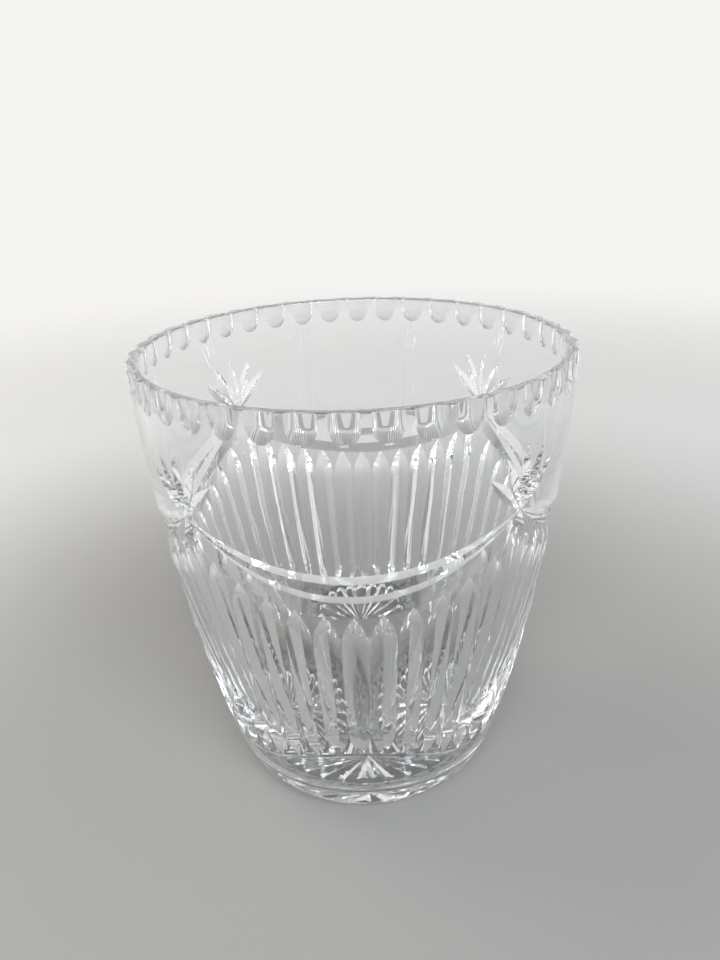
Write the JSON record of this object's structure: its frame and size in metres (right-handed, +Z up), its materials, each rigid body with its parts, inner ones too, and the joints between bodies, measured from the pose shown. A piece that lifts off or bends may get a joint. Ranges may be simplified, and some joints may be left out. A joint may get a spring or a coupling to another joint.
{
  "type": "crystal ice bucket",
  "caption": "Tapered round ice bucket in clear cut crystal, with a scalloped flat rim, star and swag cutting, and upright mitre flutes down to a thick star-cut base.",
  "frame": {"origin": "middle of the flat ring that the bucket stands on, at the height of the table", "axes": "+Z up along the bucket's axis, -Y through the middle of one swag, with the four stars halfway between the X and Y axes"},
  "size_m": [0.1496, 0.1496, 0.162],
  "materials": {
    "lead_crystal": "polished clear lead crystal, wheel-cut and acid-polished outside, fire-polished inside"
  },
  "bodies": {
    "root": {"cut_glass_bucket": "lead_crystal"}
  },
  "joints": []
}
